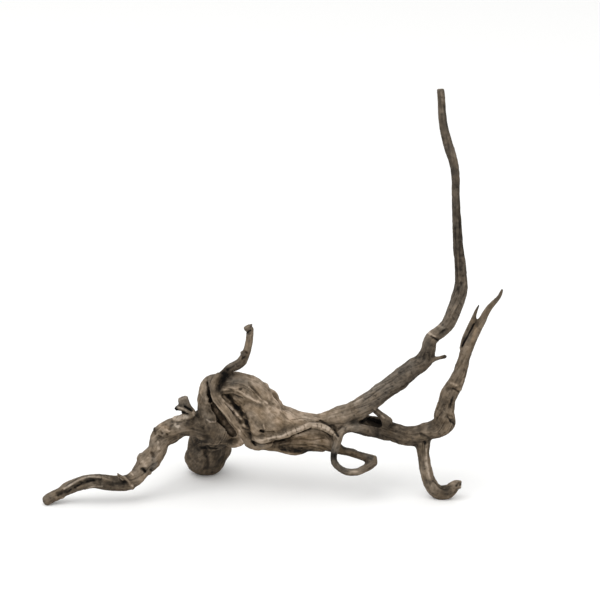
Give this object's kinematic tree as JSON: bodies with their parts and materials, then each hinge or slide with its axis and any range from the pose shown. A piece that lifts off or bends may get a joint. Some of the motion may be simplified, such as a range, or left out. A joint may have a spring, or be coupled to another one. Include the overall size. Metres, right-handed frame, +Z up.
{
  "type": "aquarium driftwood",
  "caption": "Twisted dried root with a swollen hollow-sided trunk, a low reaching arm, a tall whip, a forked branch and a looped rootlet; stands in an aquarium as hardscape.",
  "frame": {"origin": "on the floor under the middle of the wood's bounding box", "axes": "+X from the low arm's tip towards the forked branch, the longest way across; +Y from the front towards the heel behind, the shortest way; +Z up along the whip"},
  "size_m": [0.4552, 0.105, 0.4141],
  "materials": {
    "weathered_wood": "matte, dry, bark-free weathered root wood"
  },
  "bodies": {
    "root": {"driftwood": "weathered_wood"}
  },
  "joints": []
}
